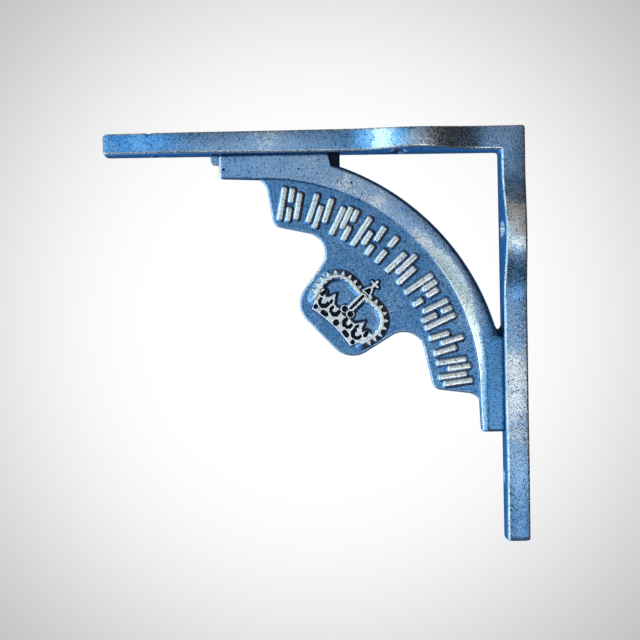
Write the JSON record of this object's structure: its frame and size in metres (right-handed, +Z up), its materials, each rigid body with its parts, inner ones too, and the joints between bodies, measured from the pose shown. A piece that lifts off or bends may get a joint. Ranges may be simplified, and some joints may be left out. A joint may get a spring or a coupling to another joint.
{
  "type": "shelf bracket",
  "caption": "Ornate cast iron shelf bracket: tapering arms with screw lobes, a curved rib, and a shaped web with a raised crown badge and an arc of marks",
  "frame": {"origin": "Middle of the wall face: half way up the wall arm's height and half way across its depth, on the flat face that bears on the wall", "axes": "+X out of the wall face toward the wall, with the shelf arm running along -X; +Y away from the ornamented side, so the crown and the marks face -Y; +Z up, out of the shelf face"},
  "size_m": [0.1912, 0.0234, 0.1886],
  "materials": {
    "polished_iron": "Burnished bare casting with a blue-grey cast, fine grain, worn pale on the raised edges"
  },
  "bodies": {
    "root": {"cast_bracket": "polished_iron"}
  },
  "joints": []
}
